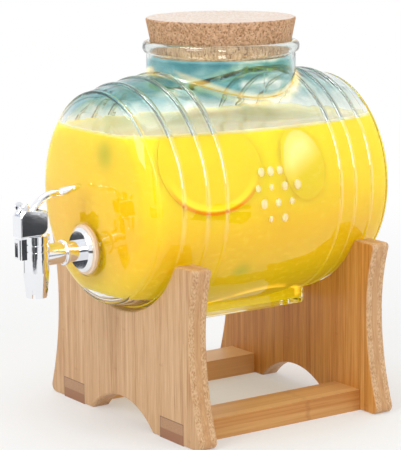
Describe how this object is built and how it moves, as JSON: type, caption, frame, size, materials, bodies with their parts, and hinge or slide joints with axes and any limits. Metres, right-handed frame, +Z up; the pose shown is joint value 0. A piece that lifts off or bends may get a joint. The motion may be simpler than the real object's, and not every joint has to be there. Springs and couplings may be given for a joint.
{
  "type": "glass beverage dispenser",
  "caption": "Glass barrel drink dispenser lying in a bamboo cradle, with a wide cork-stoppered neck and a spring-closed lever tap on its end.",
  "frame": {"origin": "on the floor, under the middle of the whole length and width", "axes": "+Z up, -Y towards the tap, +X to the right of someone facing the tap"},
  "size_m": [0.1948, 0.272, 0.2782],
  "materials": {
    "bamboo": "oiled, fine straight grain",
    "clear_glass": "clear, pressed",
    "cork": "granular cork",
    "chrome": "bright plated",
    "steel": "plain steel",
    "silicone": "pale silicone",
    "black_rubber": "matt rubber"
  },
  "bodies": {
    "stand": {"front_panel": "bamboo", "rear_panel": "bamboo", "left_rail": "bamboo", "right_rail": "bamboo"},
    "jar": {"glass_jar": "clear_glass", "outer_gasket": "silicone", "inner_gasket": "silicone", "clamp_washer": "steel", "clamp_nut": "steel", "tap_shank": "chrome", "lock_ring": "chrome", "shank_seal": "black_rubber", "tap_body": "chrome", "nozzle": "chrome", "bonnet": "chrome", "stem_seal": "black_rubber", "hood": "chrome", "lever_pin": "steel", "stem_spring": "steel"},
    "stopper": {"cork_stopper": "cork"},
    "lever": {"lever": "chrome"},
    "stem": {"stem": "steel", "valve_seal": "black_rubber"}
  },
  "joints": [
    {"name": "jar_lift", "type": "slide", "parent": "stand", "child": "jar", "axis": [0, 0, 1], "range_m": [0, 0.12]},
    {"name": "stopper_lift", "type": "slide", "parent": "jar", "child": "stopper", "axis": [0, 0, 1], "range_m": [0, 0.06]},
    {"name": "lever_turn", "type": "hinge", "parent": "jar", "child": "lever", "pos_m": [0, -0.1273, 0.1505], "axis": [1, 0, 0], "range_deg": [0, 60], "stiffness_Nm_per_rad": 0.06, "springref_deg": -17.19},
    {"name": "stem_lift", "type": "slide", "parent": "jar", "child": "stem", "axis": [0, 0, 1], "range_m": [0, 0.0063], "deforming": ["stem_spring"]}
  ],
  "couplings": [
    {"joint": "stem_lift", "follows": "lever_turn", "m_per_rad": 0.0059206}
  ]
}
